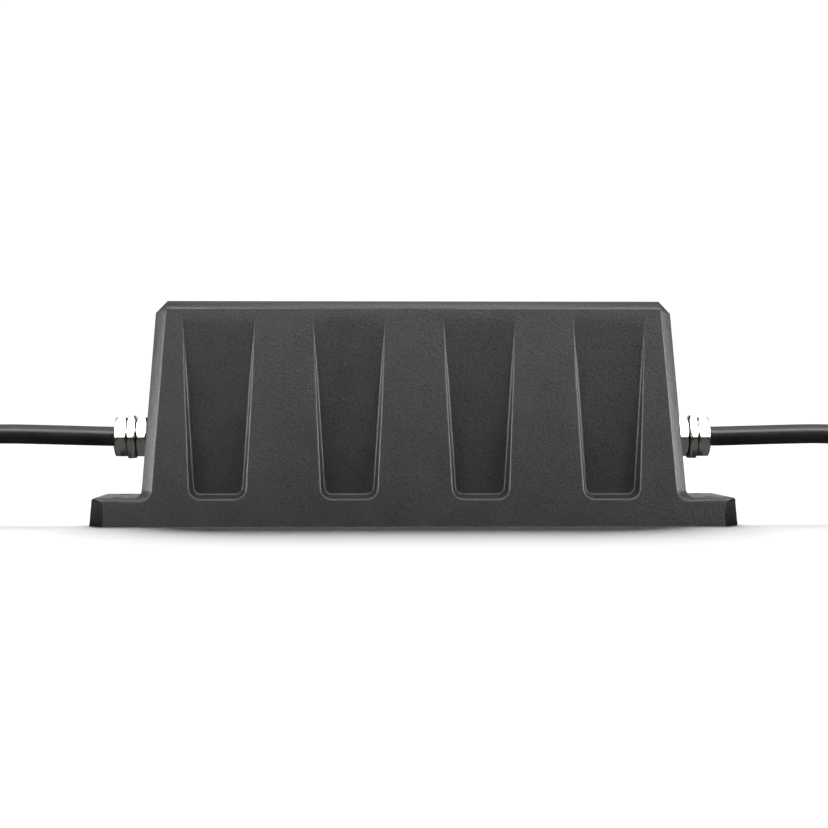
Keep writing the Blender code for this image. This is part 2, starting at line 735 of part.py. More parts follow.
def make_plug(mats, turn):
    """The plug's pieces, along their own +X from the back of the boot."""
    bore = CABLE_R + GAP
    pieces = {}
    boot = [(0.0, bore), (0.0, BOOT_BACK_R), (BOOT_BEND, BOOT_BEND_R), (BOOT_END, BOOT_FRONT_R)]
    boot += [(BOOT_END, BOOT_BORE_R), (BARREL_START - GAP, BOOT_BORE_R), (BARREL_START - GAP, bore)]
    pieces["plug_boot"] = (turned_ring(boot, 24), "rubber")
    body = [(BARREL_START, bore), (BARREL_START, BARREL_R), (COLLAR_START, BARREL_R)]
    body += [(COLLAR_START, COLLAR_R), (COLLAR_END, COLLAR_R), (COLLAR_END, SPIGOT_R)]
    body += [(NUT_KNURL_END, SPIGOT_R), (NUT_KNURL_END, SOCKET_R), (SOCKET_BOTTOM, SOCKET_R)]
    pieces["plug_body"] = (plug_body_mesh(body, bore), "nickel")
    nut = [(NUT_START, NUT_HOLE_R), (NUT_START, NUT_BACK_R), (NUT_CHAMFER_END, NUT_R)]
    nut += [(NUT_KNURL_END, NUT_R), (NUT_FRONT, NUT_EDGE_R), (NUT_FRONT, NUT_THREAD_R)]
    nut += [(NUT_INSIDE, NUT_THREAD_R), (NUT_INSIDE, NUT_HOLE_R)]
    pieces["coupling_nut"] = (turned_ring(nut, 24), "nickel")
    pin = [(PIN_START, PIN_R), (PIN_SHOULDER, PIN_R), (PIN_TIP, PIN_TIP_R)]
    pieces["plug_pin"] = (turned_solid(pin, 12), "brass")
    sign = -1 if turn else 1
    for name, (bm, mat) in pieces.items():
        obj = add_object(f"{side_names(turn)}_{name}", bm, mats[mat])
        obj.location = (sign * PLUG_X, PLUG_Y, PLUG_Z)
        obj.rotation_euler = (0.0, 0.0, math.pi / 2)


def plug_body_mesh(outside, bore):
    """Turns the body's outside, then closes its cable bore at the back and its socket at the front."""
    profile = [(BOOT_END, bore), *outside]
    return loft([turned_loop(*point, sides=24) for point in profile])


def make_inner_lead(mats, turn, floor):
    side = side_names(turn)
    top = floor + TERMINAL_TALL
    route = [
        (CABLE_START_X - 2 * GAP, 0.0, GLAND_Z),
        (0.1180, 0.0, GLAND_Z - 0.0004),
        (0.1095, 0.0, 0.0400),
        (0.1046, 0.0, 0.0330),
        (TERMINAL_X, 0.0, top + GAP),
    ]
    add_tube(f"{side}_inner_lead", smooth_route(mirrored(route, turn), 0.006), LEAD_R, mats["copper"])
    sign = -1 if turn else 1
    block = box(TERMINAL_HALF, TERMINAL_HALF, floor, top, x=sign * TERMINAL_X)
    terminal = add_object(f"{side}_coax_terminal", block, mats["nickel"])
    bm = bmesh.new()
    bm.from_mesh(terminal.data)
    edges = [e for e in bm.edges if all(v.co.z > floor + TERMINAL_TALL / 2 for v in e.verts)]
    bmesh.ops.bevel(bm, geom=edges, offset=0.001, segments=1, affect="EDGES")
    bm.to_mesh(terminal.data)
    bm.free()


def main():
    clear_scene()
    mats = make_materials()
    make_housing(mats)
    make_base(mats)
    floor = make_board(mats)
    make_components(mats, floor)
    for turn in (0.0, math.pi):
        make_gland(mats, turn)
        make_cable(mats, turn)
        make_plug(mats, turn)
        make_inner_lead(mats, turn, floor)


main()
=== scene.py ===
"""The looks of the sealed in-line coax enclosure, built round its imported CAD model.

Metres, +Z up, in the model's frame: +X runs along the housing and -Y is its front.
"""

import json
import math

import bmesh
import bpy
from mathutils import Matrix, Vector
from mathutils.geometry import tessellate_polygon


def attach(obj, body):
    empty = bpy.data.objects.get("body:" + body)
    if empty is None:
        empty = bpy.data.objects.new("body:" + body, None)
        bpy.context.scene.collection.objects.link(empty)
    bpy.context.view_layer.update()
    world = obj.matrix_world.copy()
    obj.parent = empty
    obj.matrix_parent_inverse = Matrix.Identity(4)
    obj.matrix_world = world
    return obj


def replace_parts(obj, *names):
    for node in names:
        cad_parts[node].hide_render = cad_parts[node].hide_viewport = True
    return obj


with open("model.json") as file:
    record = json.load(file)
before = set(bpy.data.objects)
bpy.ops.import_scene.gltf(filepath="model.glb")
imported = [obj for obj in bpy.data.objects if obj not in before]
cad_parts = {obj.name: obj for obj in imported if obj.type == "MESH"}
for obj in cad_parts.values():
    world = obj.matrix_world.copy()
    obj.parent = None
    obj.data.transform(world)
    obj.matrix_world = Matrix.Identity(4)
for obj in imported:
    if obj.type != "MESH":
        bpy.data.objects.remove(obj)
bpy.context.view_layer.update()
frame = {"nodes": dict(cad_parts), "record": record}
BODY = "enclosure"
GAP = 0.0003

# Housing
HEIGHT = 0.114
BASE_HALF_X = 0.1635
BASE_HALF_Y = 0.034
BODY_HALF_X = 0.1386
END_SLOPE = 0.065
FACE_SLOPE = 0.15
FLANGE_TOP = 0.0142
FLANGE_ROUND = 0.0022
FLANGE_CHAMFER = 0.0067
BODY_CHAMFER = 0.0055
FILLET = 0.004
FACE_FILLET = 0.0051
FACE_SINK = 0.0006  # how far the face's outline draws in round the flange's shoulder
TOP_END_CHAMFER = 0.0062
TOP_ROUND = 0.0042
SHOULDER_STEPS = 6
FILLET_STEPS = 12
CHAMFER_STEPS = 4
EDGE_SHARE = 0.09  # how much of a chamfer's width its rounded edges take

# Recesses
RECESS_X = (-0.0992, -0.0331, 0.0331, 0.0992)
RECESS_TOP = 0.1045
RECESS_BOTTOM = 0.0154
RECESS_FLOOR_SLOPE = 0.05
RECESS_HALF_AT_BASE = 0.01163
RECESS_WIDENING = 0.0634
RECESS_CORNER = 0.0043
RECESS_CORNER_STEPS = 12
RECESS_FLARE = 0.15
RECESS_EASE = 0.003  # the floor eases out of the face over twice this height
RECESS_EASE_STEPS = (-RECESS_EASE, -0.002, -0.001, 0.0, 0.001, 0.002, RECESS_EASE)
RECESS_WALL_STEPS = (0.006, 0.010, 0.014, 0.018, 0.03, 0.045, 0.06, 0.075)
EDGE_SETBACK = 0.0012
EDGE_STEPS = 8

# Inside of the housing
BELOW = -0.005  # where cuts from underneath start
WALL = 0.003
CAVITY_TOP = 0.107
CAVITY_HALF_X = 0.1305
REBATE_TOP = 0.0055
REBATE_HALF_X = 0.1325
REBATE_HALF_Y = 0.0226
SEAT_Z = 0.0036
SEAT_HALF_X = 0.1362
SEAT_HALF_Y = 0.0298
BASE_SCREW_X = (-0.108, 0.0, 0.108)
BASE_SCREW_Y = 0.0258
BASE_SCREW_R = 0.002
BASE_SCREW_TOP = 0.0138
MOUNT_X = 0.150
MOUNT_Y = 0.018
MOUNT_R = 0.0033
MOUNT_TOP = 0.02
ENTRY_START = 0.115
ENTRY_END = 0.15
SPOT_FACE_X = 0.1348
SPOT_FACE_R = 0.0136

# Glands: distances along X from the middle of the housing
GLAND_Z = 0.0447
SHANK_START = 0.1238
SHANK_PITCH = 0.0015
WASHER_THICK = 0.0012
WASHER_R = 0.0115
JAM_NUT_START = 0.1366
JAM_NUT_END = 0.1420
BODY_HEX_END = 0.1467
NUT_START_X = 0.1470
NECK_END = 0.1500
NUT_END = 0.1536
SEAL_START = 0.1438
CROWN_INSIDE = 0.1520
DOME_START = 0.1506
SMALL_FLATS = 0.020
LARGE_FLATS = 0.022
FLAT_END = 0.985  # radius of a hexagon's flat end, as a share of half its flats
TURNED_EDGE = 0.00008  # length of the fine round where that flat end stops
NUT_CHAMFER = 0.0008
DOME_STEPS = 14
ENTRY_R = 0.008
NECK_R = 0.0083
SEAL_SEAT_R = 0.007
CABLE_BORE_R = 0.0056
CROWN_BORE_R = 0.0059
CROWN_R = 0.0072

# Plug: distances along it from the back of its boot
BARREL_START = 0.012
BOOT_END = 0.020
COLLAR_START = 0.024
COLLAR_END = 0.0335
NUT_START = 0.0345
NUT_GRIP_START = 0.0360
NUT_INSIDE = 0.0375
SOCKET_BOTTOM = 0.0420
NUT_GRIP_MIDDLE = 0.0440
NUT_GRIP_END = 0.0520
NUT_FRONT = 0.0530
NUT_PITCH = 0.00106
COLLAR_GROOVES = (0.0262, 0.0305)
COLLAR_GROOVE_DEPTH = 0.0003
BARREL_R = 0.0060
BOOT_BACK_R = 0.0060
BOOT_FRONT_R = 0.0074
COLLAR_R = 0.0080
SPIGOT_R = 0.0042
SOCKET_R = 0.0035
NUT_R = 0.0104
NUT_EDGE_R = 0.0098
NUT_BACK_R = 0.0095
NUT_THREAD_R = 0.0080
NUT_HOLE_R = 0.0046
NUT_KNURL_FROM = 0.0100
KNURLS = 60
KNURL_DEPTH = 0.0003
BOOT_RIBS = 6
RIB_STEPS = 8
RIB_DEPTH = 0.0009

# Cables
CABLE_R = 0.005
CABLE_Z = GLAND_Z + 0.0014
RUN_BEND_X = 0.213
RUN_END_X = 0.2955
ARC_STEPS = 8
ROUTE_STEPS = 3  # points drawn for each point of the route
COIL_X = 0.330
COIL_Y = 0.0213
COIL_R = 0.050
COIL_LOW = 0.0068
COIL_PITCH = 0.0103
COIL_TURNS = 3
COIL_STEPS = 48  # points to a turn
COIL_START = math.radians(-90)
COIL_HIGH = COIL_LOW + COIL_PITCH * (COIL_TURNS - 1)
RAMP = (math.radians(159), math.radians(232))  # where each turn climbs onto the next
TAIL_R = 0.042
TAIL_STEPS = 12
TAIL_Z = COIL_HIGH + COIL_PITCH
PLUG_X = COIL_X + TAIL_R
PLUG_Y = COIL_Y - 0.006
PLUG_Z = 0.0431

# Camera, light and stage
CAMERA_PLACE = (-0.037, -1.033, 0.0564)
CAMERA_YAW = math.radians(1.64)
CAMERA_LENS = 86.86
CAMERA_SHIFT = 0.0185
KEY_HEIGHT = math.radians(46)
KEY_WIDTH = math.radians(46)
KEY_STRENGTH = 5.1
SOFTBOX_TARGET = (0.0, 0.0, 0.05)
SOFTBOXES = {  # place, (width, height) and power in watts
    "front_strip": ((0.03, -0.40, 0.57), (1.3, 0.30), 7.4),
    "overhead": ((0.0, -0.02, 1.30), (2.0, 2.0), 19.0),
    "left_side": ((-1.25, -0.40, 0.26), (1.5, 0.5), 19.0),
    "right_side": ((1.25, -0.40, 0.26), (1.5, 0.5), 19.0),
    "left_edge": ((-1.22, -0.25, 0.20), (0.3, 0.4), 8.0),
    "right_edge": ((1.22, -0.25, 0.20), (0.3, 0.4), 8.0),
}
FLOOR_HALF = 6
FLOOR_WHITE = 0.90
WALL_DISTANCE = 5.5
WALL_HEIGHT = 2.2
WALL_GLOW = 1.05


# Camera, floor and light


def add_camera():
    data = bpy.data.cameras.new("camera")
    data.sensor_width = 36.0
    data.lens = CAMERA_LENS
    data.shift_x = CAMERA_SHIFT
    data.clip_start = 0.01
    data.clip_end = 50.0
    camera = bpy.data.objects.new("camera", data)
    camera.location = CAMERA_PLACE
    camera.rotation_euler = (math.pi / 2, 0.0, -CAMERA_YAW)
    bpy.context.scene.collection.objects.link(camera)
    bpy.context.scene.camera = camera


def add_softbox(name, place, size, power):
    """An area light that only shows in reflections."""
    data = bpy.data.lights.new(name, "AREA")
    data.shape = "RECTANGLE"
    data.size, data.size_y = size
    data.energy = power
    light = bpy.data.objects.new(name, data)
    light.location = place
    towards = Vector(SOFTBOX_TARGET) - Vector(place)
    light.rotation_euler = towards.to_track_quat("-Z", "Y").to_euler()
    light.visible_camera = False
    light.visible_diffuse = False
    bpy.context.scene.collection.objects.link(light)


def add_key_light():
    """A broad, even light from above and behind, which throws a soft shadow towards the viewer."""
    data = bpy.data.lights.new("key", "SUN")
    data.energy = KEY_STRENGTH
    data.angle = KEY_WIDTH
    light = bpy.data.objects.new("key", data)
    towards = Vector((0.0, -math.cos(KEY_HEIGHT), -math.sin(KEY_HEIGHT)))
    light.rotation_euler = towards.to_track_quat("-Z", "Y").to_euler()
    light.visible_glossy = False
    bpy.context.scene.collection.objects.link(light)


def add_lights():
    add_key_light()
    for name, (place, size, power) in SOFTBOXES.items():
        add_softbox(name, place, size, power)


def add_world():
    """A dim studio, a little paler above the horizon than below it."""
    world = bpy.data.worlds.new("studio")
    world.use_nodes = True
    tree = world.node_tree
    tree.nodes.clear()
    place = tree.nodes.new("ShaderNodeTexCoord")
    split = tree.nodes.new("ShaderNodeSeparateXYZ")
    ramp = tree.nodes.new("ShaderNodeMapRange")
    ramp.inputs["From Min"].default_value = -0.12
    ramp.inputs["From Max"].default_value = 0.10
    ramp.inputs["To Min"].default_value = 0.02
    ramp.inputs["To Max"].default_value = 0.06
    background = tree.nodes.new("ShaderNodeBackground")
    output = tree.nodes.new("ShaderNodeOutputWorld")
    tree.links.new(place.outputs["Generated"], split.inputs[0])
    tree.links.new(split.outputs["Z"], ramp.inputs["Value"])
    tree.links.new(ramp.outputs["Result"], background.inputs["Strength"])
    tree.links.new(background.outputs[0], output.inputs["Surface"])
    bpy.context.scene.world = world


def add_panel(name, corners, mat):
    mesh = bpy.data.meshes.new(name)
    mesh.from_pydata(corners, [], [(0, 1, 2, 3)])
    mesh.materials.append(mat)
    panel = bpy.data.objects.new(name, mesh)
    bpy.context.scene.collection.objects.link(panel)
    return panel


def add_studio():
    """A dull white floor, and glowing panels a long way off that stand for a white sweep."""
    floor_mat, shader = new_material("floor", (FLOOR_WHITE, FLOOR_WHITE, FLOOR_WHITE), 0.9)
    shader.inputs["Specular IOR Level"].default_value = 0.0
    floor = add_panel("floor", rectangle(FLOOR_HALF, FLOOR_HALF, 0), floor_mat)
    floor.visible_glossy = False
    wall_mat, shader = new_material("backdrop", (0.0, 0.0, 0.0), 0.5)
    shader.inputs["Emission Color"].default_value = (1.0, 1.0, 1.0, 1.0)
    shader.inputs["Emission Strength"].default_value = WALL_GLOW
    far = WALL_DISTANCE
    corners = [(-far, far), (far, far), (far, -far), (-far, -far)]
    for name, a, b in zip(("back", "right", "front", "left"), corners, corners[1:] + corners[:1]):
        panel = [(*a, 0.0), (*b, 0.0), (*b, WALL_HEIGHT), (*a, WALL_HEIGHT)]
        wall = add_panel(f"backdrop_{name}", panel, wall_mat)
        wall.visible_diffuse = name == "back"
        wall.visible_glossy = name != "front"
        wall.visible_shadow = False


# Materials


def new_material(name, color, roughness, metallic=0.0):
    made = bpy.data.materials.new(name)
    made.use_nodes = True
    shader = made.node_tree.nodes["Principled BSDF"]
    shader.inputs["Base Color"].default_value = (*color, 1.0)
    shader.inputs["Roughness"].default_value = roughness
    shader.inputs["Metallic"].default_value = metallic
    return made, shader


def noise(tree, scale, detail=3.0, stretch=None):
    """Noise over the piece's own place in the model. stretch draws it out along the axes."""
    place = tree.nodes.new("ShaderNodeTexCoord")
    made = tree.nodes.new("ShaderNodeTexNoise")
    made.inputs["Scale"].default_value = scale
    made.inputs["Detail"].default_value = detail
    made.inputs["Roughness"].default_value = 0.6
    if stretch:
        mapping = tree.nodes.new("ShaderNodeMapping")
        mapping.inputs["Scale"].default_value = stretch
        tree.links.new(place.outputs["Object"], mapping.inputs[0])
        tree.links.new(mapping.outputs[0], made.inputs["Vector"])
    else:
        tree.links.new(place.outputs["Object"], made.inputs["Vector"])
    return made


def vary(tree, source, low, high, socket):
    """Drives a number socket from the source, from low to high."""
    ramp = tree.nodes.new("ShaderNodeMapRange")
    ramp.inputs["From Min"].default_value = 0.3
    ramp.inputs["From Max"].default_value = 0.7
    ramp.inputs["To Min"].default_value = low
    ramp.inputs["To Max"].default_value = high
    tree.links.new(source.outputs[0], ramp.inputs["Value"])
    tree.links.new(ramp.outputs["Result"], socket)


def tint(tree, source, dark, light, socket):
    """Drives a colour socket from the source, from dark to light."""
    ramp = tree.nodes.new("ShaderNodeValToRGB")
    ramp.color_ramp.elements[0].position = 0.35
    ramp.color_ramp.elements[0].color = (*dark, 1.0)
    ramp.color_ramp.elements[1].position = 0.65
    ramp.color_ramp.elements[1].color = (*light, 1.0)
    tree.links.new(source.outputs[0], ramp.inputs[0])
    tree.links.new(ramp.outputs[0], socket)


def bump(tree, shader, source, distance, below=None):
    """Raises the surface by the source, on top of the bump below it."""
    made = tree.nodes.new("ShaderNodeBump")
    made.inputs["Distance"].default_value = distance
    made.inputs["Strength"].default_value = 1.0
    tree.links.new(source.outputs[0], made.inputs["Height"])
    if below:
        tree.links.new(below.outputs[0], made.inputs["Normal"])
    tree.links.new(made.outputs[0], shader.inputs["Normal"])
    return made


def grained(name, dark, light, roughness, grain, depth, gloss):
    """A surface with fine grain, patches of slightly different gloss and a slow drift of colour."""
    made, shader = new_material(name, light, sum(roughness) / 2)
    shader.inputs["Specular IOR Level"].default_value = gloss
    tree = made.node_tree
    tint(tree, noise(tree, grain / 12), dark, light, shader.inputs["Base Color"])
    vary(tree, noise(tree, grain / 5), *roughness, shader.inputs["Roughness"])
    bump(tree, shader, noise(tree, grain, 2.0), depth)
    return made


def moulded_plastic():
    """Charcoal plastic from a spark-eroded mould."""
    made, shader = new_material("housing", (0.05, 0.05, 0.05), 0.5)
    shader.inputs["IOR"].default_value = 1.5
    tree = made.node_tree
    spark = noise(tree, 1500.0, 2.0)
    tint(tree, spark, (0.016, 0.016, 0.0165), (0.053, 0.053, 0.053), shader.inputs["Base Color"])
    vary(tree, noise(tree, 60.0, 4.0), 0.40, 0.47, shader.inputs["Roughness"])
    coarse = bump(tree, shader, noise(tree, 500.0, 2.0), 0.00010)
    bump(tree, shader, spark, 0.00016, below=coarse)
    return made


def brushed_metal(name, dark, light, roughness, stretch):
    """Metal with fine machining lines, drawn out along the axes whose stretch is smallest."""
    made, shader = new_material(name, light, sum(roughness) / 2, 1.0)
    tree = made.node_tree
    lines = noise(tree, 900.0, 3.0, stretch)
    tint(tree, noise(tree, 120.0), dark, light, shader.inputs["Base Color"])
    vary(tree, lines, *roughness, shader.inputs["Roughness"])
    bump(tree, shader, lines, 0.00001)
    return made


def solder_mask():
    """Green board with its tracks under the mask."""
    made, shader = new_material("board", (0.02, 0.14, 0.06), 0.35)
    tree = made.node_tree
    place = tree.nodes.new("ShaderNodeTexCoord")
    tracks = tree.nodes.new("ShaderNodeTexBrick")
    tracks.inputs["Scale"].default_value = 160.0
    tracks.inputs["Mortar Size"].default_value = 0.03
    tracks.inputs["Color1"].default_value = (0.012, 0.10, 0.04, 1.0)
    tracks.inputs["Color2"].default_value = (0.018, 0.13, 0.055, 1.0)
    tracks.inputs["Mortar"].default_value = (0.04, 0.24, 0.10, 1.0)
    tree.links.new(place.outputs["Object"], tracks.inputs["Vector"])
    tree.links.new(tracks.outputs["Color"], shader.inputs["Base Color"])
    vary(tree, noise(tree, 400.0), 0.28, 0.42, shader.inputs["Roughness"])
    bump(tree, shader, tracks, 0.00003)
    return made


METALS = {  # dark and light colour, roughness, and how the machining lines are drawn out
    "plate": ((0.52, 0.53, 0.54), (0.66, 0.67, 0.68), (0.28, 0.48), (0.03, 1, 1)),
    "nickel": ((0.53, 0.507, 0.475), (0.62, 0.597, 0.565), (0.12, 0.22), (1, 0.05, 0.05)),
    "steel": ((0.48, 0.49, 0.50), (0.62, 0.63, 0.64), (0.22, 0.38), (1, 1, 0.1)),
    "brass": ((0.70, 0.50, 0.22), (0.84, 0.64, 0.32), (0.18, 0.32), (1, 1, 0.1)),
    "can": ((0.56, 0.56, 0.55), (0.72, 0.72, 0.71), (0.25, 0.4), (0.05, 1, 1)),
    "copper": ((0.70, 0.34, 0.18), (0.86, 0.48, 0.28), (0.2, 0.35), (0.1, 1, 1)),
}
GRAINED = {  # dark and light colour, roughness, grain for each metre, its depth, and gloss
    "rubber": ((0.012, 0.012, 0.012), (0.022, 0.022, 0.022), (0.6, 0.8), 900.0, 0.00004, 0.5),
    "jacket": ((0.008, 0.008, 0.008), (0.012, 0.012, 0.012), (0.30, 0.40), 500.0, 0.00002, 0.55),
    "nylon": ((0.52, 0.52, 0.48), (0.64, 0.64, 0.60), (0.4, 0.55), 500.0, 0.00002, 0.5),
    "tie": ((0.012, 0.012, 0.012), (0.02, 0.02, 0.02), (0.4, 0.55), 800.0, 0.00002, 0.5),
    "ferrite": ((0.04, 0.04, 0.042), (0.08, 0.08, 0.082), (0.55, 0.75), 700.0, 0.00006, 0.5),
}


def make_materials():
    made = {"housing": moulded_plastic(), "board": solder_mask()}
    for name, finish in METALS.items():
        made[name] = brushed_metal(name, *finish)
    for name, finish in GRAINED.items():
        made[name] = grained(name, *finish)
    return made


# Shapes


def add_piece(name, bm, slot, body, sharp_above):
    """Makes a piece of a mesh, which rides on a body. Edges sharper than sharp_above degrees stay sharp."""
    bmesh.ops.recalc_face_normals(bm, faces=bm.faces)
    mesh = bpy.data.meshes.new(name)
    bm.to_mesh(mesh)
    bm.free()
    mesh.materials.append(MATERIALS[slot])
    if sharp_above:
        mesh.shade_smooth()
        mesh.set_sharp_from_angle(angle=math.radians(sharp_above))
    piece = bpy.data.objects.new(name, mesh)
    bpy.context.scene.collection.objects.link(piece)
    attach(piece, body)
    return piece


def loft(loops):
    """A closed mesh through loops of as many points each, with a cap at both ends."""
    bm = bmesh.new()
    rings = [[bm.verts.new(point) for point in loop] for loop in loops]
    for low, high in zip(rings, rings[1:]):
        for i in range(len(low)):
            j = (i + 1) % len(low)
            bm.faces.new((low[i], low[j], high[j], high[i]))
    bm.faces.new(rings[0])
    bm.faces.new(rings[-1])
    return bm


def rectangle(half_x, half_y, z):
    """Corners of a rectangle round the Z axis."""
    return [(-half_x, -half_y, z), (half_x, -half_y, z), (half_x, half_y, z), (-half_x, half_y, z)]


def drill(x, y, low, high, radius, sides):
    def ring(z):
        angles = [math.tau * k / sides for k in range(sides)]
        return [(x + radius * math.cos(a), y + radius * math.sin(a), z) for a in angles]

    return loft([ring(low), ring(high)])


def cut(target, bm):
    """Takes a closed mesh out of the target for good."""
    bmesh.ops.recalc_face_normals(bm, faces=bm.faces)
    mesh = bpy.data.meshes.new("cutter")
    bm.to_mesh(mesh)
    bm.free()
    cutter = bpy.data.objects.new("cutter", mesh)
    bpy.context.scene.collection.objects.link(cutter)
    modifier = target.modifiers.new("cut", "BOOLEAN")
    modifier.operation = "DIFFERENCE"
    modifier.solver = "EXACT"
    modifier.object = cutter
    graph = bpy.context.evaluated_depsgraph_get()
    done = bpy.data.meshes.new_from_object(target.evaluated_get(graph))
    target.modifiers.clear()
    target.data = done
    bpy.data.objects.remove(cutter)


# Housing


def end_x(z):
    return BODY_HALF_X - END_SLOPE * z


def face_y(z):
    return BASE_HALF_Y - FACE_SLOPE * z


def bend_through(start, corner, end, steps):
    """Points along the rounded corner from start to end."""
    start, corner, end = Vector(start), Vector(corner), Vector(end)
    points = []
    for k in range(steps + 1):
        t = k / steps
        points.append((1 - t) ** 2 * start + 2 * t * (1 - t) * corner + t * t * end)
    return points


def strip_profile(roundness):
    """Points from the flat face to the side: (share across, share back) for a chamfer to a full round."""
    e = EDGE_SHARE
    slant = e * math.sqrt(0.5)
    chamfer = bend_through((-e, 0), (0, 0), (slant, slant), CHAMFER_STEPS)
    chamfer += bend_through((1 - slant, 1 - slant), (1, 1), (1, 1 + e), CHAMFER_STEPS)
    points = []
    for k, (across, back) in enumerate(chamfer):
        bend = math.pi / 2 * k / (len(chamfer) - 1)
        across = (1 - roundness) * across + roundness * math.sin(bend)
        back = (1 - roundness) * back + roundness * (1 - math.cos(bend))
        points.append((across, back))
    return points


def outline_half():
    """Right half of the outline, as in the CAD: outer (x, z), face (x, z), depth of the strip, roundness."""
    shoulder = FLANGE_TOP - FLANGE_ROUND
    flange_x = BASE_HALF_X - END_SLOPE * shoulder
    face_x = flange_x - FLANGE_CHAMFER
    points = [
        ((BASE_HALF_X, 0.0), (BASE_HALF_X - FLANGE_CHAMFER, 0.0), FLANGE_CHAMFER, 0.0),
        ((flange_x, shoulder), (face_x, shoulder - FACE_SINK), FLANGE_CHAMFER, 0.0),
    ]
    for k in range(1, SHOULDER_STEPS + 1):
        share = k / SHOULDER_STEPS
        angle = math.radians(90) * share
        in_by, up_by = 1 - math.cos(angle), math.sin(angle)
        outer = (flange_x - FLANGE_ROUND * in_by, shoulder + FLANGE_ROUND * up_by)
        inner = (face_x - FACE_SINK * in_by, shoulder - FACE_SINK * (1 - up_by))
        points.append((outer, inner, FLANGE_CHAMFER + (FLANGE_ROUND - FLANGE_CHAMFER) * share, share))
    rise = FLANGE_TOP + FILLET
    side_x = end_x(rise)
    strip = BODY_CHAMFER - FLANGE_ROUND
    face_centre_x = side_x - BODY_CHAMFER + FACE_FILLET
    for step in range(FILLET_STEPS + 1):
        share = step / FILLET_STEPS
        angle = math.radians(90) * share
        outer = (side_x + FILLET * (1 - math.sin(angle)), rise - FILLET * math.cos(angle))
        inner = (face_centre_x - FACE_FILLET * math.sin(angle), rise - (rise - shoulder) * math.cos(angle))
        points.append((outer, inner, FLANGE_ROUND + strip * share, 1.0 - share))
    bend = HEIGHT - TOP_END_CHAMFER
    face_top = HEIGHT - TOP_ROUND
    outer_low, inner_low = (end_x(bend), bend), (end_x(bend) - BODY_CHAMFER, bend + 0.0002)
    outer_high = (end_x(bend) - TOP_END_CHAMFER, HEIGHT)
    inner_high = (end_x(bend) - BODY_CHAMFER - 0.0003, face_top)
    points.append((outer_low, inner_low, BODY_CHAMFER, 0.0))
    points.append((outer_high, inner_high, TOP_ROUND, 1.0))
    return points


def outline_loop(step, side):
    """The whole outline at one step of the strip between the face and the side."""
    half = []
    for outer, inner, depth, roundness in outline_half():
        across, back = strip_profile(roundness)[step]
        x = inner[0] + (outer[0] - inner[0]) * across
        z = inner[1] + (outer[1] - inner[1]) * min(across, 1.0)
        half.append((x, side * (face_y(z) - depth * back), max(z, 0.0)))
    return half + [(-x, y, z) for x, y, z in reversed(half)]


def recess_depth(z):
    """How far the recess's floor lies behind the face. It eases out of the face at the top."""
    below = RECESS_TOP - z
    if below < RECESS_EASE:
        below = max(0.0, below + RECESS_EASE) ** 2 / (4 * RECESS_EASE)
    return (FACE_SLOPE - RECESS_FLOOR_SLOPE) * below


def recess_outline():
    """The floor's outline from its top left corner to its top right one: (x, z) and the way out of it."""
    low = RECESS_BOTTOM
    slope = math.atan(RECESS_WIDENING)
    side_way = (math.cos(slope), -math.sin(slope))

    def half_width(z):
        return RECESS_HALF_AT_BASE + RECESS_WIDENING * z

    heights = [RECESS_TOP - below for below in RECESS_EASE_STEPS + RECESS_WALL_STEPS]
    right = [((half_width(z), z), side_way) for z in heights]
    centre_z = low + RECESS_CORNER
    centre_x = half_width(centre_z) - RECESS_CORNER / math.cos(slope)
    for k in range(RECESS_CORNER_STEPS + 1):
        angle = -slope - (math.radians(90) - slope) * k / RECESS_CORNER_STEPS
        way = (math.cos(angle), math.sin(angle))
        right.append(((centre_x + RECESS_CORNER * way[0], centre_z + RECESS_CORNER * way[1]), way))
    for share in (0.66, 0.33):
        right.append(((centre_x * share, low), (0.0, -1.0)))
    left = [((-x, z), (-way_x, way_z)) for (x, z), (way_x, way_z) in right]
    return left + [((0.0, low), (0.0, -1.0))] + list(reversed(right))


def recess_profile(place, way, x_middle, side):
    """Points from the face, down the wall and onto the floor, at one place of the floor's outline."""

    def at(out, above_floor, on_face=False):
        x, z = place[0] + way[0] * out, place[1] + way[1] * out
        y = face_y(z)
        if not on_face:
            y = y - recess_depth(z) + above_floor
        return Vector((x_middle + x, side * y, z))

    height = recess_depth(place[1])
    for _ in range(4):
        height = recess_depth(place[1] + way[1] * RECESS_FLARE * height)
    setback = min(EDGE_SETBACK, 0.42 * height)
    edge = RECESS_FLARE * height
    rim = at(edge - RECESS_FLARE * setback, height - setback)
    top = bend_through(at(edge + setback, 0.0, True), at(edge, height), rim, EDGE_STEPS)
    foot = bend_through(at(RECESS_FLARE * setback, setback), at(0.0, 0.0), at(-setback, 0.0), EDGE_STEPS)
    return top + foot


def fill_flat(bm, rings):
    """Fills a flat region between its outer ring and its holes, and shades it flat."""
    flat = [vert for ring in rings for vert in ring]
    for triple in tessellate_polygon([[vert.co for vert in ring] for ring in rings]):
        corners = {flat[i] for i in triple}
        if len(corners) == 3:
            face = bm.faces.new([flat[i] for i in triple])
            face.smooth = False


def add_strip(bm, low, high):
    """Faces between two rows of points, leaving out corners that fall together."""
    for i in range(len(low) - 1):
        corners = list(dict.fromkeys((low[i], low[i + 1], high[i + 1], high[i])))
        if len(corners) > 2:
            bm.faces.new(corners).smooth = True


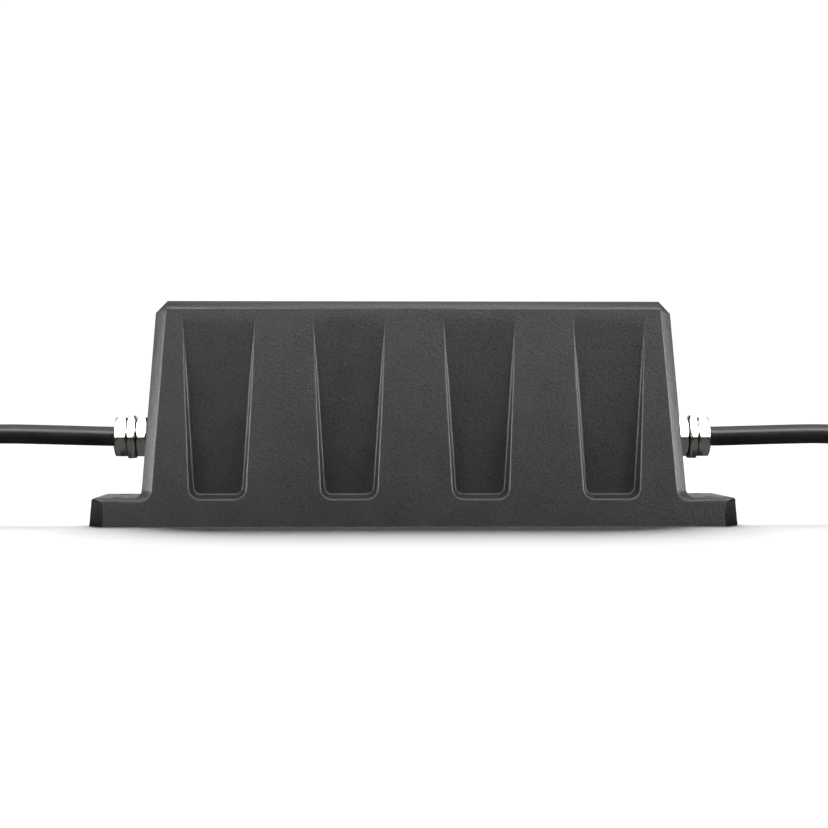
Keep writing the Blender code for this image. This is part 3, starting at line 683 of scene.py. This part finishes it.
def add_recess(bm, x_middle, side):
    """Builds a recess into the open face and returns the ring of its mouth."""
    outline = recess_outline()
    columns = []
    for index, (place, way) in enumerate(outline):
        if index in (0, len(outline) - 1):
            x, z = place
            tip = bm.verts.new((x_middle + x, side * face_y(z), z))
            columns.append([tip] * (2 * EDGE_STEPS + 2))
        else:
            columns.append([bm.verts.new(p) for p in recess_profile(place, way, x_middle, side)])
    for left, right in zip(columns, columns[1:]):
        add_strip(bm, left, right)
    mouth = [column[0] for column in columns]
    floor = [column[-1] for column in columns]
    rows = len(RECESS_EASE_STEPS)
    for k in range(rows):
        corners = [floor[k], floor[-1 - k], floor[-2 - k], floor[k + 1]]
        bm.faces.new(corners).smooth = True
    fill_flat(bm, [floor[rows:-rows]])
    return mouth


def make_shell():
    """The outside of the housing with its recesses, as one closed mesh."""
    count = len(strip_profile(0.0))
    loops = [outline_loop(step, -1) for step in range(count)]
    loops += [outline_loop(step, 1) for step in range(count - 1, -1, -1)]
    bm = bmesh.new()
    rings = [[bm.verts.new(point) for point in loop] for loop in loops]
    for number, (front, back) in enumerate(zip(rings, rings[1:]), 1):
        wide = number == count
        for i in range(len(front)):
            j = (i + 1) % len(front)
            face = bm.faces.new((front[i], front[j], back[j], back[i]))
            face.smooth = not wide or face.calc_area() < 0.0001  # only the large flats are shaded flat
    for ring, side in ((rings[0], -1), (rings[-1], 1)):
        mouths = [add_recess(bm, x, side) for x in RECESS_X]
        fill_flat(bm, [ring, *mouths])
    bmesh.ops.remove_doubles(bm, verts=bm.verts, dist=0.0000002)
    return bm


def make_housing():
    """The shell, hollowed from underneath and drilled for its screws, its mounts and its glands."""
    housing = add_piece("housing_shell", make_shell(), "housing", BODY, sharp_above=None)

    def inner_y(z):
        return face_y(RECESS_TOP) + RECESS_FLOOR_SLOPE * (RECESS_TOP - z) - WALL

    def cavity_at(z):
        return rectangle(CAVITY_HALF_X - END_SLOPE * z, inner_y(z), z)

    cut(housing, loft([cavity_at(BELOW), cavity_at(CAVITY_TOP)]))
    cut(housing, loft([rectangle(REBATE_HALF_X, REBATE_HALF_Y, z) for z in (BELOW, REBATE_TOP)]))
    cut(housing, loft([rectangle(SEAT_HALF_X, SEAT_HALF_Y, z) for z in (BELOW, SEAT_Z)]))
    for x in BASE_SCREW_X:
        for y in (-BASE_SCREW_Y, BASE_SCREW_Y):
            cut(housing, drill(x, y, BELOW, BASE_SCREW_TOP, BASE_SCREW_R, 32))
    for x in (-MOUNT_X, MOUNT_X):
        for y in (-MOUNT_Y, MOUNT_Y):
            cut(housing, drill(x, y, BELOW, MOUNT_TOP, MOUNT_R, 48))
    entry = [(ENTRY_START, ENTRY_R + GAP), (SPOT_FACE_X, ENTRY_R + GAP)]
    entry += [(SPOT_FACE_X, SPOT_FACE_R), (ENTRY_END, SPOT_FACE_R)]
    for sign in (-1, 1):
        bm = loft([turned_loop(*point) for point in entry])
        bmesh.ops.transform(bm, matrix=gland_matrix(sign), verts=bm.verts)
        cut(housing, bm)
    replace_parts(housing, "housing")


# Turned pieces


def radius_at(angle, radius, flats):
    """The radius, cut down to a hexagon where flats gives the distance across its flats."""
    if not flats:
        return radius
    from_middle = (angle % math.radians(60)) - math.radians(30)
    return min(radius, flats / 2 / math.cos(from_middle))


def turned_loop(along, radius, flats=0.0, sides=96, shape=None):
    """One turn of points round the X axis."""
    loop = []
    for k in range(sides):
        angle = math.tau * k / sides
        r = radius_at(angle, radius, flats)
        if shape:
            r = shape(angle, along, r)
        loop.append((along, -r * math.cos(angle), r * math.sin(angle)))
    return loop


def turned_ring(profile, sides, shape):
    """A closed mesh of a closed profile, whose points are (along, radius) or (along, radius, flats)."""
    bm = bmesh.new()
    rings = [[bm.verts.new(p) for p in turned_loop(*point, sides=sides, shape=shape)] for point in profile]
    for a, b in zip(rings, rings[1:] + rings[:1]):
        for i in range(sides):
            j = (i + 1) % sides
            bm.faces.new((a[i], a[j], b[j], b[i]))
    return bm


def side_of(sign):
    return "left" if sign < 0 else "right"


def gland_matrix(sign):
    turn = Matrix.Rotation(math.pi if sign < 0 else 0.0, 4, "Z")
    return Matrix.Translation((0.0, 0.0, GLAND_Z)) @ turn


def plug_matrix(sign):
    turn = Matrix.Rotation(math.pi / 2, 4, "Z")
    return Matrix.Translation((sign * PLUG_X, PLUG_Y, PLUG_Z)) @ turn


def add_turned(name, profile, slot, matrix, node, body=BODY, sides=96, shape=None, sharp_above=24):
    """A turned piece in the place of its CAD node. shape changes each loop's radii after turning."""
    bm = turned_ring(profile, sides, shape)
    bmesh.ops.transform(bm, matrix=matrix, verts=bm.verts)
    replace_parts(add_piece(name, bm, slot, body, sharp_above), node)


def hexagon(start, end, flats):
    """Outside of a hexagon nut, its corners turned down at both ends."""
    corner = flats / math.sqrt(3)
    low = flats / 2 * FLAT_END
    drop = (corner - low) * math.tan(math.radians(30))
    chamfer = [(drop * k / 3, low + (corner - low) * k / 3) for k in (1, 2, 3)]
    profile = [(start, low - 0.0002, flats), (start + TURNED_EDGE, low, flats)]
    profile += [(start + inward, radius, flats) for inward, radius in chamfer]
    profile += [(end - inward, radius, flats) for inward, radius in reversed(chamfer)]
    profile += [(end - TURNED_EDGE, low, flats), (end, low - 0.0002, flats)]
    return profile


def dome_nut():
    """A hexagon nut whose outer end is turned to a dome, hollow for the gland's neck."""
    corner = SMALL_FLATS / math.sqrt(3)
    low = SMALL_FLATS / 2 * FLAT_END
    start = NUT_START_X
    bore = NECK_R + GAP + 0.0002
    profile = [(start + 0.0004, bore), (start, bore + 0.0004), (start, low)]
    profile += [(start + NUT_CHAMFER * k / 3, low + (corner - low) * k / 3, SMALL_FLATS) for k in (1, 2, 3)]
    for k in range(DOME_STEPS + 1):
        angle = math.radians(90) * k / DOME_STEPS
        r = CROWN_R + (corner - CROWN_R) * math.cos(angle)
        profile.append((DOME_START + (NUT_END - DOME_START) * math.sin(angle), r, SMALL_FLATS))
    profile += [(NUT_END, CROWN_BORE_R + 0.0005), (NUT_END - 0.0005, CROWN_BORE_R)]
    profile += [(CROWN_INSIDE, CROWN_BORE_R), (CROWN_INSIDE, bore)]
    return profile


def threads(start, end, crest, root, pitch):
    """Ridges along a screw, one to a turn, without the thread's slant."""
    points = []
    for k in range(int((end - start) / pitch)):
        x = start + k * pitch
        points += [(x, root), (x + pitch * 0.4, crest), (x + pitch * 0.6, crest)]
    points.append((end, root))
    return points


def make_washer(side, matrix):
    start, end = SPOT_FACE_X + GAP, SPOT_FACE_X + GAP + WASHER_THICK
    washer = [(start, ENTRY_R + GAP), (start, WASHER_R - 0.0002), (start + 0.0003, WASHER_R)]
    washer += [(end - 0.0003, WASHER_R), (end, WASHER_R - 0.0002), (end, ENTRY_R + GAP)]
    add_turned(f"{side}_entry_seal", washer, "rubber", matrix, f"{side}_entry_washer")


def make_jam_nut(side, matrix):
    bore = ENTRY_R + GAP
    jam = [(JAM_NUT_START + 0.0002, bore), (JAM_NUT_START, bore + 0.0002)]
    jam += hexagon(JAM_NUT_START, JAM_NUT_END, SMALL_FLATS)
    jam += [(JAM_NUT_END, bore + 0.0002), (JAM_NUT_END - 0.0002, bore)]
    add_turned(f"{side}_jam_hexagon", jam, "nickel", matrix, f"{side}_jam_nut")


def make_gland_body(side, matrix):
    """The threaded shank through the housing's end, the hexagon and the neck that takes the dome nut."""
    crest, root, neck = ENTRY_R - 0.0001, ENTRY_R - 0.0008, NECK_R - 0.0001
    body = [(SHANK_START + 0.0005, CABLE_BORE_R), (SHANK_START, CABLE_BORE_R + 0.0004)]
    body += [(SHANK_START, ENTRY_R - 0.0007)]
    body += threads(SHANK_START + 0.0004, JAM_NUT_START - 0.0002, crest, root, SHANK_PITCH)
    body += [(JAM_NUT_END + GAP, ENTRY_R - 0.0002), *hexagon(JAM_NUT_END + GAP, BODY_HEX_END, LARGE_FLATS)]
    body += [(BODY_HEX_END, neck), (NECK_END, neck), (NECK_END, SEAL_SEAT_R)]
    body += [(SEAL_START - GAP, SEAL_SEAT_R), (SEAL_START - GAP, CABLE_BORE_R)]
    add_turned(f"{side}_gland_hexagon", body, "nickel", matrix, f"{side}_gland_body")


def make_gland(sign):
    side = side_of(sign)
    matrix = gland_matrix(sign)
    make_washer(side, matrix)
    make_jam_nut(side, matrix)
    make_gland_body(side, matrix)
    nut = f"{side}_dome_nut"
    add_turned(f"{side}_gland_crown", dome_nut(), "nickel", matrix, nut, body=nut)


def knurled(angle, along, radius):
    """Fine straight knurl on the coupling nut's outside."""
    on_grip = radius > NUT_KNURL_FROM and NUT_GRIP_START < along < NUT_GRIP_END
    return radius - KNURL_DEPTH * (0.5 - 0.5 * math.cos(KNURLS * angle)) if on_grip else radius


def ribbed(start, end):
    """The boot's outside: shallow grooves between rounded ribs, and plain ends."""
    count = BOOT_RIBS * RIB_STEPS
    points = []
    for k in range(count + 1):
        share = k / count
        radius = BOOT_BACK_R + (BOOT_FRONT_R - BOOT_BACK_R) * share
        if 0.05 < share < 0.95:
            radius -= RIB_DEPTH * max(0.0, math.cos(math.tau * BOOT_RIBS * share)) ** 2
        points.append((start + (end - start) * share, radius))
    return points


def make_boot(side, matrix):
    bore = CABLE_R + GAP
    boot = [(0.0003, bore), (0.0, bore + 0.0002), (0.0, BOOT_BACK_R - 0.0002)]
    boot += ribbed(0.0003, BOOT_END - 0.0004)
    boot += [(BOOT_END, BOOT_FRONT_R - 0.0004), (BOOT_END, BARREL_R + GAP)]
    boot += [(BARREL_START - GAP, BARREL_R + GAP), (BARREL_START - GAP, bore)]
    add_turned(f"{side}_ribbed_boot", boot, "rubber", matrix, f"{side}_plug_boot", sides=64, sharp_above=50)


def make_barrel(side, matrix):
    """The plug's body, from the bottom of the cable's hole round to the bottom of the pin's socket."""
    bore = CABLE_R + GAP
    groove_r = COLLAR_R - COLLAR_GROOVE_DEPTH
    barrel = [(BOOT_END, bore), (BARREL_START, bore), (BARREL_START, BARREL_R), (COLLAR_START, BARREL_R)]
    barrel += [(COLLAR_START, COLLAR_R - 0.0004), (COLLAR_START + 0.0004, COLLAR_R)]
    for groove in COLLAR_GROOVES:
        barrel += [(groove, COLLAR_R), (groove + 0.0002, groove_r)]
        barrel += [(groove + 0.0005, groove_r), (groove + 0.0007, COLLAR_R)]
    barrel += [(COLLAR_END - 0.0004, COLLAR_R), (COLLAR_END, COLLAR_R - 0.0004), (COLLAR_END, SPIGOT_R)]
    barrel += [(NUT_GRIP_END, SPIGOT_R), (NUT_GRIP_END, SOCKET_R), (SOCKET_BOTTOM, SOCKET_R)]
    bm = loft([turned_loop(*point) for point in barrel])
    bmesh.ops.transform(bm, matrix=matrix, verts=bm.verts)
    piece = add_piece(f"{side}_plug_barrel", bm, "nickel", BODY, 24)
    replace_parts(piece, f"{side}_plug_body")


def make_coupling_nut(side, matrix):
    nut = [(NUT_START, NUT_HOLE_R), (NUT_START, NUT_BACK_R), (NUT_GRIP_START, NUT_R - 0.0001)]
    nut += [(NUT_GRIP_START + 0.0003, NUT_R), (NUT_GRIP_MIDDLE, NUT_R), (NUT_GRIP_END - 0.0003, NUT_R)]
    nut += [(NUT_GRIP_END, NUT_R - 0.0002), (NUT_FRONT, NUT_EDGE_R), (NUT_FRONT, NUT_THREAD_R + 0.0006)]
    start, end = NUT_INSIDE + 0.0008, NUT_FRONT - 0.0006
    nut += reversed(threads(start, end, NUT_THREAD_R + 0.0007, NUT_THREAD_R, NUT_PITCH))
    nut += [(NUT_INSIDE, NUT_THREAD_R), (NUT_INSIDE, NUT_HOLE_R)]
    name = f"{side}_coupling_nut"
    add_turned(f"{side}_knurled_nut", nut, "nickel", matrix, name, body=name, sides=480, shape=knurled)


def make_plug(sign):
    side = side_of(sign)
    matrix = plug_matrix(sign)
    make_boot(side, matrix)
    make_barrel(side, matrix)
    make_coupling_nut(side, matrix)


# Cables


def eased(share):
    """From 0 to 1 with no sudden change of slope."""
    share = min(max(share, 0.0), 1.0)
    return (1 - math.cos(math.pi * share)) / 2


def two_arcs(length, offset):
    """Points (along, aside) of an S made of two equal arcs, the gentlest way over to the side."""
    radius = (length**2 + offset**2) / (4 * offset)
    sweep = 2 * math.atan2(offset, length)
    angles = [sweep * k / ARC_STEPS for k in range(ARC_STEPS + 1)]
    first = [(radius * math.sin(a), radius * (1 - math.cos(a))) for a in angles]
    second = [(length - along, offset - aside) for along, aside in reversed(first)]
    return first + second[1:]


def cable_route(sign):
    """The whole cable: out of the gland, down to the surface, round its coil and into the plug on top."""
    points = [
        (0.140, 0.0, GLAND_Z),
        (0.150, 0.0, GLAND_Z + 0.0001),
        (0.160, 0.0, GLAND_Z + 0.0003),
        (0.175, 0.0, GLAND_Z + 0.0007),
        (0.190, 0.0, GLAND_Z + 0.0011),
        (0.204, 0.0, CABLE_Z),
    ]
    down = COIL_LOW - CABLE_Z
    across = COIL_Y - COIL_R
    offset = math.hypot(down, across)
    for along, aside in two_arcs(RUN_END_X - RUN_BEND_X, offset):
        share = aside / offset
        points.append((RUN_BEND_X + along, across * share, CABLE_Z + down * share))
    points += [(x, COIL_Y - COIL_R, COIL_LOW) for x in (0.303, 0.311, 0.319, 0.3255)]
    for k in range(COIL_STEPS * COIL_TURNS + 1):
        turn, part = divmod(k, COIL_STEPS)
        angle = COIL_START + math.tau * part / COIL_STEPS
        climb = eased((angle - RAMP[0]) / (RAMP[1] - RAMP[0]))
        z = COIL_LOW + COIL_PITCH * (turn + climb)
        points.append((COIL_X + COIL_R * math.cos(angle), COIL_Y + COIL_R * math.sin(angle), z))
    for k in range(1, TAIL_STEPS + 1):
        angle = COIL_START + math.radians(90) * k / TAIL_STEPS
        x = COIL_X + TAIL_R * math.cos(angle)
        y = COIL_Y - COIL_R + TAIL_R + TAIL_R * math.sin(angle)
        points.append((x, y, TAIL_Z + (PLUG_Z - TAIL_Z) * eased(k / TAIL_STEPS)))
    points += [(PLUG_X, PLUG_Y + along, PLUG_Z) for along in (0.0100, 0.0190)]
    return smooth_route([(sign * x, y, z) for x, y, z in points])


def smooth_route(points):
    """A Catmull-Rom curve through the points."""
    points = [Vector(p) for p in points]
    padded = [2 * points[0] - points[1], *points, 2 * points[-1] - points[-2]]
    fine = []
    for p0, p1, p2, p3 in zip(padded, padded[1:], padded[2:], padded[3:]):
        for k in range(ROUTE_STEPS):
            t = k / ROUTE_STEPS
            bend = (2 * p0 - 5 * p1 + 4 * p2 - p3) * t * t + (3 * p1 - p0 - 3 * p2 + p3) * t * t * t
            fine.append(p1 + 0.5 * ((p2 - p0) * t + bend))
    fine.append(points[-1])
    return fine


def make_cable(sign):
    side = side_of(sign)
    route = cable_route(sign)
    curve = bpy.data.curves.new(f"{side}_cable", "CURVE")
    curve.dimensions = "3D"
    curve.bevel_depth = CABLE_R
    curve.bevel_resolution = 8
    curve.use_fill_caps = True
    spline = curve.splines.new("POLY")
    spline.points.add(len(route) - 1)
    for point, place in zip(spline.points, route):
        point.co = (*place, 1.0)
    curve.materials.append(MATERIALS["jacket"])
    cable = bpy.data.objects.new(f"{side}_cable", curve)
    bpy.context.scene.collection.objects.link(cable)
    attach(cable, BODY)
    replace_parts(cable, f"{side}_cable_run", f"{side}_cable_coil", f"{side}_cable_tail")


def dress_cad_nodes():
    """Gives each CAD node the material of its slot."""
    slots = {part["node"]: part["material_slot"] for part in frame["record"]["subparts"]}
    for name, node in frame["nodes"].items():
        node.data.materials.clear()
        node.data.materials.append(MATERIALS[slots[name]])
        for face in node.data.polygons:
            face.material_index = 0


# Everything together

MATERIALS = make_materials()
bpy.context.scene.view_settings.view_transform = "Standard"
add_camera()
add_lights()
add_world()
add_studio()
for sign in (-1, 1):
    make_cable(sign)
    make_gland(sign)
    make_plug(sign)
dress_cad_nodes()
make_housing()
